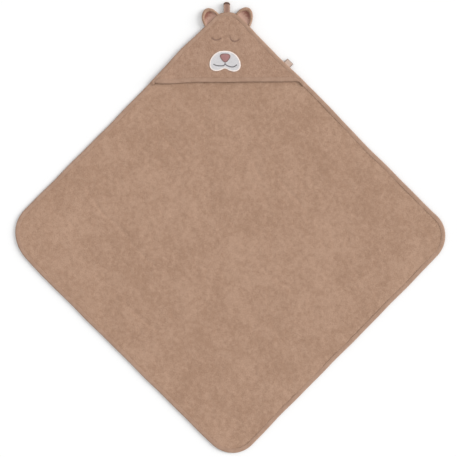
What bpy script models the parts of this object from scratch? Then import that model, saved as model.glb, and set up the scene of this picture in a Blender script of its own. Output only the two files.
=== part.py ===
"""Hooded baby towel: a square of terry cloth with a corner hood that carries a bear's face and ears.

The towel lies flat with its hood towards +Y. The origin is on its underside, at the centre of the square.
All lengths are in metres. The square stands on a corner, so its four corners point along +Y, -X, -Y and +X.
An `inset` is a distance inside the towel's edge. Left and right are as seen from above.
"""

import math

import bmesh
import bpy
from mathutils import Matrix, Vector

# The towel.
SIDE = 0.750                    # side of the square
CORNER_RADIUS = 0.065           # left, bottom and right corners
APEX_RADIUS = 0.045             # the corner at the hood
CLOTH = 0.003                   # thickness of the terry
TAPE = 0.00075                  # thickness of the cotton binding tape
HEM = 0.010                     # width of the tape on the edge
GAP = 0.0003                    # clearance between neighbouring pieces
# The hood.
HOOD_CLOTH = 0.0025
HOOD_EDGE_Y = 0.349             # the free edge
HOOD_TOP_Y = 0.4993             # where the hood's panel meets the binding at the apex
HOOD_RISE = 0.009               # how far the middle of the free edge bulges above the seams
FACE_HALF = 0.045               # the hood is a plane this far each side of the middle,
FACE_SHARE = 0.60               # or this share of its half width where it is narrow
# The face.
FACE_X = -0.0065                # the face sits a little to the left of the middle
MUZZLE_Y = 0.397
PATCH_THICKNESS = 0.0009
BORDER_RADIUS = 0.0011
NOSE_THICKNESS = 0.0010
NOSE_EDGE_RADIUS = 0.0009
MOUTH_RADIUS = 0.0007
EYE_RADIUS = 0.0008
EYE_HALF_WIDTH = 0.0105
EYE_DROP = 0.0056
# The ears, the loop and the label.
EAR_HALF_BASE = 0.022
EAR_REACH = 0.0265              # from the seam to the ear's tip
EAR_LEAN = 0.2                  # the ear's tip leans towards the apex by this share of its reach
EAR_ALONG = 0.0520              # from the square's corner to the middle of the ear's seam
LINING_SHARE = 0.60             # size of the lining over that of the ear
LINING_CLOTH = 0.0009
CUP = 0.0020                    # the ear's rim stands this far above its middle
LOOP_X = -0.002
LOOP_LENGTH = 0.0208
LOOP_WIDTH = 0.014
LOOP_TAPE = 0.0010
LOOP_UP, LOOP_DOWN = 0.0046, 0.0027
LABEL_ALONG = 0.1980            # from the square's corner to the middle of the label
LABEL_LENGTH, LABEL_REACH, LABEL_LEAF, LABEL_SPACE = 0.0175, 0.0104, 0.0004, 0.0005

# Sizes that follow from them.
HALF_DIAGONAL = SIDE / math.sqrt(2)
APEX_Y = HALF_DIAGONAL - APEX_RADIUS * (math.sqrt(2) - 1)
APEX_CENTRE_Y = HALF_DIAGONAL - APEX_RADIUS * math.sqrt(2)
TONGUE = CLOTH - 2 * (TAPE + GAP)               # the panel's pressed edge, inside the tape
HOOD_BASE_Z = CLOTH + TAPE + 2 * GAP            # room for the free edge's tape under the hood
HOOD_BINDING_Z = HOOD_BASE_Z + HOOD_CLOTH + GAP + 0.0002
HOOD_SLOPE = HOOD_RISE / (HOOD_TOP_Y - HOOD_EDGE_Y)
SEAM_Z = HOOD_BINDING_Z / 2
RAMP = 0.009                    # the binding comes down from the hood's thickness over this length
ARC_STEPS = 10

# Shapes of the face, from the middle of the muzzle; the right halves run from the top to the bottom.
MUZZLE_RIGHT = [
    (0.0, 0.0245), (0.0130, 0.0235), (0.0265, 0.0165), (0.0350, 0.0035), (0.0362, -0.0085),
    (0.0325, -0.0190), (0.0225, -0.0240), (0.0110, -0.0222), (0.0, -0.0175),
]
NOSE_RIGHT = [(0.0, 0.0165), (0.0080, 0.0157), (0.0118, 0.0110), (0.0080, 0.0030), (0.0, -0.0025)]
PHILTRUM = [(0.0, -0.0032), (0.0, -0.0064)]
MOUTH_RIGHT = [(0.0018, -0.0072), (0.0055, -0.0100), (0.0135, -0.0120), (0.0210, -0.0106), (0.0265, -0.0066)]
EYES = {"eye_left": (-0.0200, 0.0543), "eye_right": (0.0225, 0.0508)}

# Colours.
TERRY_BROWN = (0.435, 0.279, 0.194)
TAPE_BROWN = (0.420, 0.265, 0.183)
LINING_ROSE = (0.300, 0.155, 0.115)
LOOP_BROWN = (0.330, 0.200, 0.140)
CREAM = (0.660, 0.630, 0.620)
THREAD_CREAM = (0.760, 0.700, 0.640)
NOSE_ROSE = (0.420, 0.225, 0.215)
NOSE_EDGE = (0.220, 0.150, 0.140)
MOUTH_GREY = (0.150, 0.140, 0.145)
EYE_BROWN = (0.330, 0.190, 0.125)
LABEL_BEIGE = (0.580, 0.420, 0.320)


# ---------------------------------------------------------------- objects and materials

def collection(name, hidden=False):
    made = bpy.data.collections.new(name)
    bpy.context.scene.collection.children.link(made)
    made.hide_render = hidden
    return made


def material(name, colour, roughness):
    made = bpy.data.materials.new(name)
    made.use_nodes = True
    shader = made.node_tree.nodes["Principled BSDF"]
    shader.inputs["Base Color"].default_value = (*colour, 1)
    shader.inputs["Roughness"].default_value = roughness
    shader.inputs["Metallic"].default_value = 0.0
    return made


def pivot(name, at, group):
    empty = bpy.data.objects.new(name, None)
    empty.location = at
    group["parts"].objects.link(empty)
    return empty


def place(obj, group, finish, parent=None):
    """Links a piece to the towel's collection, gives it its material and hangs it on its pivot."""
    group["parts"].objects.link(obj)
    obj.data.materials.append(finish)
    if parent:
        obj.parent = parent
        obj.matrix_parent_inverse = Matrix.Translation(parent.location).inverted()
    return obj


def hide(obj, group):
    group["helpers"].objects.link(obj)
    obj.hide_render = True
    obj.display_type = "WIRE"


def finished_mesh(work, name):
    """The bmesh as an object with its faces outwards and soft shading."""
    bmesh.ops.recalc_face_normals(work, faces=work.faces)
    mesh = bpy.data.meshes.new(name)
    work.to_mesh(mesh)
    work.free()
    obj = bpy.data.objects.new(name, mesh)
    mesh.shade_smooth()
    mesh.set_sharp_from_angle(angle=math.radians(40))
    return obj


# ---------------------------------------------------------------- how the pieces are made

def loft(name, rings, around=False):
    """A solid through rings of points. It either runs round and meets itself or has flat ends."""
    work = bmesh.new()
    rings = [[work.verts.new(point) for point in ring] for ring in rings]
    pairs = list(zip(rings, rings[1:]))
    if around:
        pairs.append((rings[-1], rings[0]))
    else:
        work.faces.new(rings[0])
        work.faces.new(list(reversed(rings[-1])))
    for near, far in pairs:
        for k in range(len(near)):
            work.faces.new((near[k - 1], near[k], far[k], far[k - 1]))
    return finished_mesh(work, name)


def sheet(name, rows, thickness):
    """A piece of cloth from rows of points on its underside; Solidify makes its thickness upwards."""
    work = bmesh.new()
    grid = [[work.verts.new(point) for point in row] for row in rows]
    for near, far in zip(grid, grid[1:]):
        for a, b, c, d in zip(near, near[1:], far[1:], far):
            work.faces.new((a, b, c, d))
    obj = finished_mesh(work, name)
    if obj.data.polygons[0].normal.z < 0:
        obj.data.flip_normals()
    skin = obj.modifiers.new("thickness", "SOLIDIFY")
    skin.thickness = thickness
    skin.offset = 1.0
    return obj


def spline_curve(name, points, closed, dimensions):
    """A curve object of one poly spline, from points in the plane or in space."""
    curve = bpy.data.curves.new(name, "CURVE")
    curve.dimensions = dimensions
    add_spline(curve, points, closed)
    return bpy.data.objects.new(name, curve)


def add_spline(curve, points, closed):
    spline = curve.splines.new("POLY")
    spline.points.add(len(points) - 1)
    for node, point in zip(spline.points, points):
        node.co = (*point, *([0.0] * (3 - len(point))), 1.0)
    spline.use_cyclic_u = closed


def plate(name, outline, thickness, hole=None):
    """A flat outline with a thickness, half of it on each side of its own plane."""
    obj = spline_curve(name, outline, True, "2D")
    if hole:
        add_spline(obj.data, hole, True)
    obj.data.fill_mode = "BOTH"
    obj.data.extrude = thickness / 2
    return obj


def thread(name, points, radius, closed=False):
    """A round line of embroidery."""
    obj = spline_curve(name, points, closed, "3D")
    obj.data.bevel_depth = radius
    obj.data.bevel_resolution = 1
    obj.data.use_fill_caps = True
    return obj


def closed_outline(right_half, per_corner=3):
    """A smooth closed line, the same left and right, as a Catmull-Rom curve through a few points."""
    left_half = [(-x, y) for x, y in reversed(right_half[1:-1])]
    corners = [Vector(point) for point in reversed(right_half + left_half)]
    count, line = len(corners), []
    for k in range(count):
        p0, p1, p2, p3 = (corners[(k + step) % count] for step in (-1, 0, 1, 2))
        for m in range(per_corner):
            t = m / per_corner
            bend = (2 * p0 - 5 * p1 + 4 * p2 - p3) * t * t + (3 * p1 - p0 - 3 * p2 + p3) * t ** 3
            line.append((2 * p1 + (p2 - p0) * t + bend) / 2)
    return line


def inset_line(line, by):
    """An anticlockwise closed line moved inwards."""
    moved = []
    for k, point in enumerate(line):
        along = (line[(k + 1) % len(line)] - line[k - 1]).normalized()
        moved.append(point + Vector((-along.y, along.x)) * by)
    return moved


# ---------------------------------------------------------------- the towel's own lines

def edge_frame(along, sign):
    """A point on the ideal upper left (-1) or right (+1) side, `along` metres from its corner, and two ways."""
    down = Vector((sign, -1.0)).normalized()
    outward = Vector((sign, 1.0)).normalized()
    return Vector((0.0, HALF_DIAGONAL)) + down * along, down, outward


def side_point(y, sign, inset):
    on_edge, _, outward = edge_frame((HALF_DIAGONAL - y) * math.sqrt(2), sign)
    return on_edge - outward * inset


def corner_arc(direction, radius, inset):
    """One round corner, anticlockwise; direction is the angle at which it points."""
    towards = math.radians(direction)
    reach = HALF_DIAGONAL - radius * math.sqrt(2)
    centre = Vector((math.cos(towards), math.sin(towards))) * reach
    points = []
    for k in range(ARC_STEPS + 1):
        a = towards + math.radians(90 * k / ARC_STEPS - 45)
        points.append(centre + Vector((math.cos(a), math.sin(a))) * (radius - inset))
    return points


def hood_outline(inset, low_y=HOOD_EDGE_Y):
    """From the hood's right end over the apex to its left end."""
    return [side_point(low_y, 1, inset), *corner_arc(90, APEX_RADIUS, inset), side_point(low_y, -1, inset)]


def lower_outline(inset, high_y=HOOD_EDGE_Y - RAMP):
    """From below the hood's left end round the left, bottom and right corners."""
    corners = [point for turn in (180, 270, 360) for point in corner_arc(turn, CORNER_RADIUS, inset)]
    return [side_point(high_y, -1, inset), *corners, side_point(high_y, 1, inset)]


def corner_sag(along):
    """How far the round corner at the hood lies inside the square's side."""
    short = max(0.0, APEX_RADIUS - along)
    return APEX_RADIUS - math.sqrt(APEX_RADIUS ** 2 - short ** 2)


def ease(t):
    t = min(1.0, max(0.0, t))
    return t * t * (3 - 2 * t)


def hood_half_width(y):
    """Half the width of the hood's panel, which ends at the binding's inner edge."""
    inset = HEM + GAP
    if y < HALF_DIAGONAL - APEX_RADIUS / math.sqrt(2) - inset / math.sqrt(2):
        return HALF_DIAGONAL - inset * math.sqrt(2) - y
    return math.sqrt((APEX_RADIUS - inset) ** 2 - (y - APEX_CENTRE_Y) ** 2)


def hood_underside(x, y):
    """Height of the hood's underside: a sloping plane in the middle that comes down to the side seams."""
    half = hood_half_width(y)
    flat_half = min(FACE_HALF, FACE_SHARE * half)
    rise = HOOD_SLOPE * (HOOD_TOP_Y - y)
    return HOOD_BASE_Z + rise * ease((half - abs(x)) / (half - flat_half))


# ---------------------------------------------------------------- towel and hood

def towel_panel(group, finish):
    """The square of terry: full thickness up to the binding, then a pressed edge inside the tape."""
    inset = HEM + GAP
    full = sheet_of_outline("towel_panel", inset, CLOTH, CLOTH / 2)
    tongue = sheet_of_outline("pressed_edge", TAPE + GAP, TONGUE, CLOTH / 2)
    hide(tongue, group)
    place(full, group, finish)
    union = full.modifiers.new("edge", "BOOLEAN")
    union.operation = "UNION"
    union.solver = "EXACT"
    union.object = tongue


def sheet_of_outline(name, inset, thickness, middle_z):
    outline = hood_outline(inset) + lower_outline(inset)
    levels = (middle_z - thickness / 2, middle_z + thickness / 2)
    return loft(name, [[(*point, z) for point in outline] for z in levels])


def edge_binding(group, finish):
    """Tape folded round the whole edge. At the hood it also holds the hood's sides, so it is thicker there."""
    across = [0.0, HEM, HEM, TAPE, TAPE, HEM, HEM, 0.0]
    lines = [hood_outline(inset) + lower_outline(inset) for inset in across]
    rings = []
    for k in range(len(lines[0])):
        top = HOOD_BINDING_Z if k < len(hood_outline(0.0)) else CLOTH
        heights = [0.0, 0.0, TAPE, TAPE, top - TAPE, top - TAPE, top, top]
        rings.append([(*line[k], z) for line, z in zip(lines, heights)])
    place(loft("edge_binding", rings, around=True), group, finish)


def hood_seam_margin(group, finish):
    """The sewn sides of the hood's cloth, which lie in the binding on top of the towel's pressed edge."""
    low = CLOTH / 2 + TONGUE / 2 + GAP
    high = HOOD_BINDING_Z - TAPE - GAP
    across = [TAPE + GAP, HEM - GAP, HEM - GAP, TAPE + GAP]
    lines = [hood_outline(inset, HOOD_EDGE_Y + GAP) for inset in across]
    rings = []
    for k in range(len(lines[0])):
        rings.append([(*line[k], z) for line, z in zip(lines, (low, low, high, high))])
    place(loft("hood_seam_margin", rings), group, finish)


def hood_panel(group, finish, parent):
    """The triangle of terry that makes the pocket; its free edge bulges off the towel."""
    rows, row_count, column_count = [], 14, 18
    low_y = HOOD_EDGE_Y + TAPE + GAP
    for i in range(row_count + 1):
        y = HOOD_TOP_Y - (HOOD_TOP_Y - low_y) * i / row_count
        half = hood_half_width(y)
        row = [half * (2 * j / column_count - 1) for j in range(column_count + 1)]
        rows.append([(x, y, hood_underside(x, y)) for x in row])
    place(sheet("hood_panel", rows, HOOD_CLOTH), group, finish, parent)


def hood_binding(group, finish, parent):
    """Tape folded round the hood's free edge, from one side seam to the other."""
    low, high = -GAP / 2, HOOD_CLOTH + 2 * GAP
    section = [
        (0.0, low - TAPE), (HEM, low - TAPE), (HEM, low), (TAPE, low),
        (TAPE, high), (HEM, high), (HEM, high + TAPE), (0.0, high + TAPE),
    ]
    rings, steps = [], 24
    for k in range(steps + 1):
        ring = []
        for inset, level in section:
            y = HOOD_EDGE_Y + inset
            x = (1 - 2 * k / steps) * (hood_half_width(y) - HEM / 2)
            ring.append((x, y, hood_underside(x, y) + level))
        rings.append(ring)
    place(loft("hood_binding", rings), group, finish, parent)


# ---------------------------------------------------------------- the face

def lay_on_hood(obj, height, group, finish, parent):
    """Lays a flat piece on the hood's sloping middle; its own origin is the muzzle's middle."""
    z = HOOD_BASE_Z + HOOD_CLOTH + HOOD_SLOPE * (HOOD_TOP_Y - MUZZLE_Y)
    obj.location = (FACE_X, MUZZLE_Y, z + height)
    obj.rotation_euler.x = -math.atan(HOOD_SLOPE)
    place(obj, group, finish, parent)


def muzzle(group, finishes, parent):
    outline = closed_outline(MUZZLE_RIGHT)
    patch = plate("muzzle_patch", inset_line(outline, 2 * BORDER_RADIUS + GAP), PATCH_THICKNESS)
    border = thread("muzzle_border", inset_line(outline, BORDER_RADIUS), BORDER_RADIUS, closed=True)
    lay_on_hood(patch, 2 * GAP + PATCH_THICKNESS / 2, group, finishes["cream"], parent)
    lay_on_hood(border, 2 * GAP + BORDER_RADIUS, group, finishes["border"], parent)


def nose(group, finishes, parent):
    top = 3 * GAP + PATCH_THICKNESS
    outline = closed_outline(NOSE_RIGHT)
    filling = plate("nose", inset_line(outline, 2 * NOSE_EDGE_RADIUS + GAP), NOSE_THICKNESS)
    border = thread("nose_border", inset_line(outline, NOSE_EDGE_RADIUS), NOSE_EDGE_RADIUS, closed=True)
    lay_on_hood(filling, top + NOSE_THICKNESS / 2, group, finishes["nose"], parent)
    lay_on_hood(border, top + NOSE_EDGE_RADIUS, group, finishes["nose_edge"], parent)


def mouth(group, finish, parent):
    """Two arcs and the short line between them and the nose."""
    top = 3 * GAP + PATCH_THICKNESS
    mouth_left = [(-x, y) for x, y in MOUTH_RIGHT]
    for name, points in (("mouth_right", MOUTH_RIGHT), ("mouth_left", mouth_left), ("philtrum", PHILTRUM)):
        lay_on_hood(thread(name, points, MOUTH_RADIUS), top + MOUTH_RADIUS, group, finish, parent)


def eyes(group, finish, parent):
    """Two closed eyes, each an arc that sags in its middle."""
    steps = 8
    for name, (x, y) in EYES.items():
        places = [2 * k / steps - 1 for k in range(steps + 1)]
        arc = [(x + EYE_HALF_WIDTH * t, y - EYE_DROP * (1 - t * t)) for t in places]
        lay_on_hood(thread(name, arc, EYE_RADIUS), 2 * GAP + EYE_RADIUS, group, finish, parent)


# ---------------------------------------------------------------- ears, loop and label

def ear_rows(sign, share, base_z, cup):
    """Rows of points over a half-oval at the ear's seam; `share` is its size over that of the ear."""
    middle, down, outward = edge_frame(EAR_ALONG, sign)
    rows, row_count, column_count = [], 8, 12
    for i in range(row_count + 1):
        v = math.sin(math.radians(82 * i / row_count)) * share
        half = math.sqrt(share ** 2 - v ** 2)
        row = []
        for j in range(column_count + 1):
            u = half * (2 * j / column_count - 1)
            reach = EAR_REACH * v
            along = EAR_HALF_BASE * u - EAR_LEAN * reach
            follow = corner_sag(EAR_ALONG + along) * (1 - v)
            at = middle + down * along + outward * (reach + GAP - follow)
            row.append((*at, base_z + cup * (u * u + v * v)))
        rows.append(row)
    return rows


def ears(group, finishes, parents):
    """Each ear is a cup of terry with a smooth lining in it."""
    for side, sign in (("left", -1), ("right", 1)):
        terry = sheet(f"ear_{side}_terry", ear_rows(sign, 1.0, GAP, CUP), CLOTH - GAP)
        place(terry, group, finishes["terry"], parents[side])
        lining_z = CLOTH + 2 * GAP
        lining = sheet(f"ear_{side}_lining", ear_rows(sign, LINING_SHARE, lining_z, CUP), LINING_CLOTH)
        place(lining, group, finishes["lining"], parents[side])


def loop_side(length, height, start, steps):
    """One side of a long drop: it begins at a narrow neck and ends in a round bend."""
    angles = [math.pi * k / steps for k in range(steps + 1)]
    return [(start + length / 2 * (1 - math.cos(a)), height * math.sin(a) ** 1.25) for a in angles]


def hanging_loop(group, finish, parent):
    """A loop of tape sewn into the binding at the apex. It lies open, and a hook goes through it along X."""
    neck, steps = 0.0011, 12
    up = [(x, max(z, neck / 2) if x < LOOP_LENGTH / 2 else z) for x, z in loop_side(LOOP_LENGTH, LOOP_UP, 0.0, steps)]
    down = [(x, min(-z, -neck / 2) if x < LOOP_LENGTH / 2 else -z) for x, z in
            loop_side(LOOP_LENGTH, LOOP_DOWN, 0.0, steps)]
    inner_start, inner_length = 0.0040, LOOP_LENGTH - 0.0040 - 1.3 * LOOP_TAPE
    inner_up = loop_side(inner_length, LOOP_UP - LOOP_TAPE, inner_start, steps)
    inner_down = [(x, -z) for x, z in loop_side(inner_length, LOOP_DOWN - LOOP_TAPE, inner_start, steps)]
    outline = up + list(reversed(down[:-1]))
    hole = inner_up + list(reversed(inner_down[1:-1]))
    obj = plate("hanging_loop", outline, LOOP_WIDTH, hole)
    obj.location = parent.location
    obj.rotation_euler = (math.radians(90), 0.0, math.radians(90))
    place(obj, group, finish, parent)


def side_label(group, finish, parent):
    """A plain woven label, folded in two and sewn into the hood's right side."""
    half = LABEL_SPACE / 2
    outline = [
        (0.0, -half - LABEL_LEAF), (LABEL_REACH, -half - LABEL_LEAF), (LABEL_REACH, half + LABEL_LEAF),
        (0.0, half + LABEL_LEAF), (0.0, half), (LABEL_REACH - LABEL_LEAF, half),
        (LABEL_REACH - LABEL_LEAF, -half), (0.0, -half),
    ]
    obj = plate("side_label", outline, LABEL_LENGTH)
    obj.location = parent.location
    obj.rotation_euler = (math.radians(90), 0.0, math.radians(45))
    place(obj, group, finish, parent)


def main():
    for obj in list(bpy.data.objects):
        bpy.data.objects.remove(obj)
    group = {"parts": collection("hooded_towel"), "helpers": collection("cutters", hidden=True)}
    terry = material("terry", TERRY_BROWN, 0.95)
    tape = material("binding_tape", TAPE_BROWN, 0.85)
    lining = material("ear_lining", LINING_ROSE, 0.8)
    brown_thread = material("brown_thread", EYE_BROWN, 0.6)
    grey_thread = material("grey_thread", MOUTH_GREY, 0.6)
    face = {
        "cream": material("cream_cloth", CREAM, 0.85),
        "border": material("cream_thread", THREAD_CREAM, 0.6),
        "nose": material("rose_thread", NOSE_ROSE, 0.6),
        "nose_edge": material("dark_rose_thread", NOSE_EDGE, 0.6),
    }

    towel_panel(group, terry)
    edge_binding(group, tape)
    hood_seam_margin(group, terry)

    hood_at = pivot("hood_pivot", (0.0, HOOD_TOP_Y, HOOD_BASE_Z + HOOD_CLOTH), group)
    hood_panel(group, terry, hood_at)
    hood_binding(group, tape, hood_at)
    muzzle(group, face, hood_at)
    nose(group, face, hood_at)
    mouth(group, grey_thread, hood_at)
    eyes(group, brown_thread, hood_at)

    ear_at = {}
    for side, sign in (("left", -1), ("right", 1)):
        middle, _, _ = edge_frame(EAR_ALONG, sign)
        ear_at[side] = pivot(f"ear_{side}_pivot", (*middle, HOOD_BINDING_Z + GAP), group)
    ears(group, {"terry": terry, "lining": lining}, ear_at)

    loop_at = pivot("loop_pivot", (LOOP_X, APEX_Y + 3 * GAP, SEAM_Z), group)
    hanging_loop(group, material("loop_tape", LOOP_BROWN, 0.85), loop_at)
    label_foot, _, outward = edge_frame(LABEL_ALONG, 1)
    label_at = pivot("label_pivot", (*(label_foot + outward * 3 * GAP), SEAM_Z), group)
    side_label(group, material("woven_label", LABEL_BEIGE, 0.7), label_at)


main()
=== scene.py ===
# %% [markdown]
# # A hooded baby towel
# A square of terry cloth lies flat. One corner carries a hood with a bear's face sewn on it, two small
# ears stand out of the hood's seams, and a loop of tape hangs the towel up. A narrow cotton binding is
# folded round the whole edge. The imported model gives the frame: where every piece is and what moves.

# %% Load the frame
import math

import bmesh
import bpy
import numpy as np
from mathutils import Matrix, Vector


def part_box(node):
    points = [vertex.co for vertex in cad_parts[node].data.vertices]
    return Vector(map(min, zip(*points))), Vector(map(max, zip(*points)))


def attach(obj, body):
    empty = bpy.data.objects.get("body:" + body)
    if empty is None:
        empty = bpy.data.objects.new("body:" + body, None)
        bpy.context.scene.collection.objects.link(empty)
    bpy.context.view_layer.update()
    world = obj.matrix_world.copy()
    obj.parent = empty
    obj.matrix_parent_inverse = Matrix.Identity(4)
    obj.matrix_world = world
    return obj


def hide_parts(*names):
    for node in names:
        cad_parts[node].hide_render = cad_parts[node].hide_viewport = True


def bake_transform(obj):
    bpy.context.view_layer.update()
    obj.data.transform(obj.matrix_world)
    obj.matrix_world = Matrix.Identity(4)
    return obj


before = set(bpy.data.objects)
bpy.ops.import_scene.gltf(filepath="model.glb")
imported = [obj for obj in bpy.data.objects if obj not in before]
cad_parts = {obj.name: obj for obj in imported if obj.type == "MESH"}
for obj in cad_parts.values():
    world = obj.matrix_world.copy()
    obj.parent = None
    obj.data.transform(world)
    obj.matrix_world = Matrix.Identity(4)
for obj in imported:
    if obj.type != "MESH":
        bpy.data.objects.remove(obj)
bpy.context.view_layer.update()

# %% [markdown]
# ## Sizes
# The towel is cut as a square and stands on a corner, so the useful directions are the two that run
# along its upper sides. Sizes that the frame knows are read from it. The others are named here once.

# %% The towel's sizes, in metres
MM = 0.001
SIDE = 0.750
HALF = SIDE / math.sqrt(2)
APEX_RADIUS, LEFT_RADIUS, BOTTOM_RADIUS, RIGHT_RADIUS = 45 * MM, 78 * MM, 66 * MM, 64 * MM
HEM = 10 * MM
CLOTH_TOP = 3.5 * MM
HOOD_EDGE_Y = 348.6 * MM
hood_low, hood_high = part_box("hood_panel")
hinge_y = hood_high[1]
HOOD_BASE = hood_low[2]
HOOD_CLOTH = 2.5 * MM
HOOD_SLOPE = 1.4 * MM / (hinge_y - HOOD_EDGE_Y)
muzzle_low, muzzle_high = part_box("muzzle_border")
FACE_X = (muzzle_low[0] + muzzle_high[0]) / 2 + 1.4 * MM
FACE_Y = 397 * MM
UP_RIGHT = np.array([1.0, 1.0]) / math.sqrt(2)
DOWN_RIGHT = np.array([1.0, -1.0]) / math.sqrt(2)
print(f"hood base {HOOD_BASE / MM:.2f} mm, face at {FACE_X / MM:.1f}, {FACE_Y / MM:.1f} mm")

# %% [markdown]
# ## Small tools
# Cloth is never quite even. Two kinds of unevenness are enough here: a smooth one that comes in
# patches, which stands for lumps, wrinkles and the way the pile lies, and a crisp one that gives
# each loop of the pile its own height. Both come from seeded tables, so they're the same every time.

# %% Lines, levels and unevenness
def smooth(t):
    t = np.clip(t, 0, 1)
    return t * t * (3 - 2 * t)


def unit(ways):
    """Each row made 1 long."""
    return ways / np.linalg.norm(ways, axis=1)[:, None]


def run_length(points):
    """How far along a line each of its points is."""
    return np.append(0, np.cumsum(np.linalg.norm(np.diff(points, axis=0), axis=1)))


def at_lengths(wanted, reached, line):
    """A line's points at the wanted lengths."""
    return np.stack([np.interp(wanted, reached, column) for column in line.T], axis=1)


def drawn_to(level, height, share):
    """A height brought to a level, of which only a share of its distance stays."""
    return level + (height - level) * share


def patches(x, y, size, seed):
    """Smooth random values from -1 to 1 over the plane, in patches of about that size."""
    table = np.random.default_rng(seed).uniform(-1, 1, (256, 256))
    u, v = np.asarray(x) / size, np.asarray(y) / size
    i, j = np.floor(u).astype(int), np.floor(v).astype(int)
    a, b = smooth(u - i), smooth(v - j)
    near = table[i % 256, j % 256] * (1 - a) + table[(i + 1) % 256, j % 256] * a
    far = table[i % 256, (j + 1) % 256] * (1 - a) + table[(i + 1) % 256, (j + 1) % 256] * a
    return near * (1 - b) + far * b


def loops_of_pile(count, seed):
    """A random height from -1 to 1 for each loop. Most are near 0 and a few stand out."""
    return np.clip(np.random.default_rng(seed).normal(0, 0.5, count), -1, 1)


# %% [markdown]
# ## Meshes from rows of points
# Nearly every piece of cloth here is a grid: rows of points with faces between them. One helper makes
# the faces of such a grid, and another makes the mesh object with its place in its points.

# %% Grids and mesh objects
def grid_faces(rows, columns, start=0, around=False, closed=False):
    """Quads between rows of points; around joins the last column to the first, closed the rows."""
    index = start + np.arange(rows * columns).reshape(rows, columns)
    if around:
        index = np.hstack([index, index[:, :1]])
    if closed:
        index = np.vstack([index, index[:1]])
    corners = (index[:-1, :-1], index[:-1, 1:], index[1:, 1:], index[1:, :-1])
    return np.stack(corners, axis=-1).reshape(-1, 4)


def end_faces(rows, columns):
    """The two faces that close a tube of grid_faces."""
    last = (rows - 1) * columns
    return [list(range(columns)), list(range(last, last + columns))]


def strip_uv(along, across, at_ends=0):
    """UV corners for grid_faces, in metres, and zeros for the corners of its end faces."""
    u, v = np.meshgrid(along, across, indexing="ij")
    corners = (np.s_[:-1, :-1], np.s_[:-1, 1:], np.s_[1:, 1:], np.s_[1:, :-1])
    uv = np.stack([np.stack([u[c], v[c]], axis=-1) for c in corners], axis=-2).reshape(-1, 2)
    return np.vstack([uv, np.zeros((at_ends, 2))])


def add_object(name, data):
    obj = bpy.data.objects.new(name, data)
    bpy.context.scene.collection.objects.link(obj)
    return obj


def mesh_object(name, points, faces, uv=None):
    mesh = bpy.data.meshes.new(name)
    mesh.from_pydata(np.asarray(points).tolist(), [], [list(map(int, face)) for face in faces])
    if uv is not None:
        layer = mesh.uv_layers.new(name="along")
        layer.data.foreach_set("uv", np.asarray(uv, np.float32).ravel())
    mesh.shade_smooth()
    return add_object(name, mesh)


def points_of(obj):
    place = np.empty(len(obj.data.vertices) * 3)
    obj.data.vertices.foreach_get("co", place)
    return place.reshape(-1, 3)


def put_points(obj, place):
    obj.data.vertices.foreach_set("co", place.ravel())
    obj.data.update()


def face_outwards(obj):
    """Turns all faces outwards. The mesh has to be closed."""
    work = bmesh.new()
    work.from_mesh(obj.data)
    bmesh.ops.recalc_face_normals(work, faces=work.faces)
    work.to_mesh(obj.data)
    work.free()
    return obj


def joined(name, objects):
    """One object from several of one material."""
    work = bmesh.new()
    for obj in objects:
        work.from_mesh(obj.data)
    mesh = bpy.data.meshes.new(name)
    work.to_mesh(mesh)
    work.free()
    mesh.materials.append(objects[0].data.materials[0])
    for obj in objects:
        bpy.data.objects.remove(obj)
    return add_object(name, mesh)


def report(obj):
    triangles = sum(len(face.vertices) - 2 for face in obj.data.polygons)
    print(f"{obj.name}: {triangles} triangles")
    return obj


# %% [markdown]
# ## Shader maths
# A material's pattern is easier to read as a formula than as a drawing of wires. The class below wraps
# one socket, so that `1 - mask` or `weave * 0.5` adds the Math nodes for it. Anything that isn't plain
# arithmetic comes from one method, `node`, which takes a node's type, its settings and its inputs.

# %% Signals and finishes
class Signal:
    """An output socket that can be used in sums."""

    def __init__(self, finish, socket):
        self.finish, self.socket = finish, socket

    def maths(self, operation, *values):
        return self.finish.node("ShaderNodeMath", {"operation": operation}, dict(enumerate(values)))

    def __add__(self, other):
        return self.maths("ADD", self, other)

    def __sub__(self, other):
        return self.maths("SUBTRACT", self, other)

    def __rsub__(self, other):
        return self.maths("SUBTRACT", other, self)

    def __mul__(self, other):
        return self.maths("MULTIPLY", self, other)

    __radd__ = __add__
    __rmul__ = __mul__

    def wave(self, pitch):
        """A sine wave that repeats every `pitch`."""
        return self.maths("SINE", self * (2 * math.pi / pitch))

    def magnitude(self):
        return self.maths("ABSOLUTE", self)

    def over(self, low, high):
        """0 below low, 1 above high and a soft step between them."""
        values = {"Value": self, "From Min": low, "From Max": high}
        return self.finish.node("ShaderNodeMapRange", {"interpolation_type": "SMOOTHSTEP"}, values)


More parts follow.
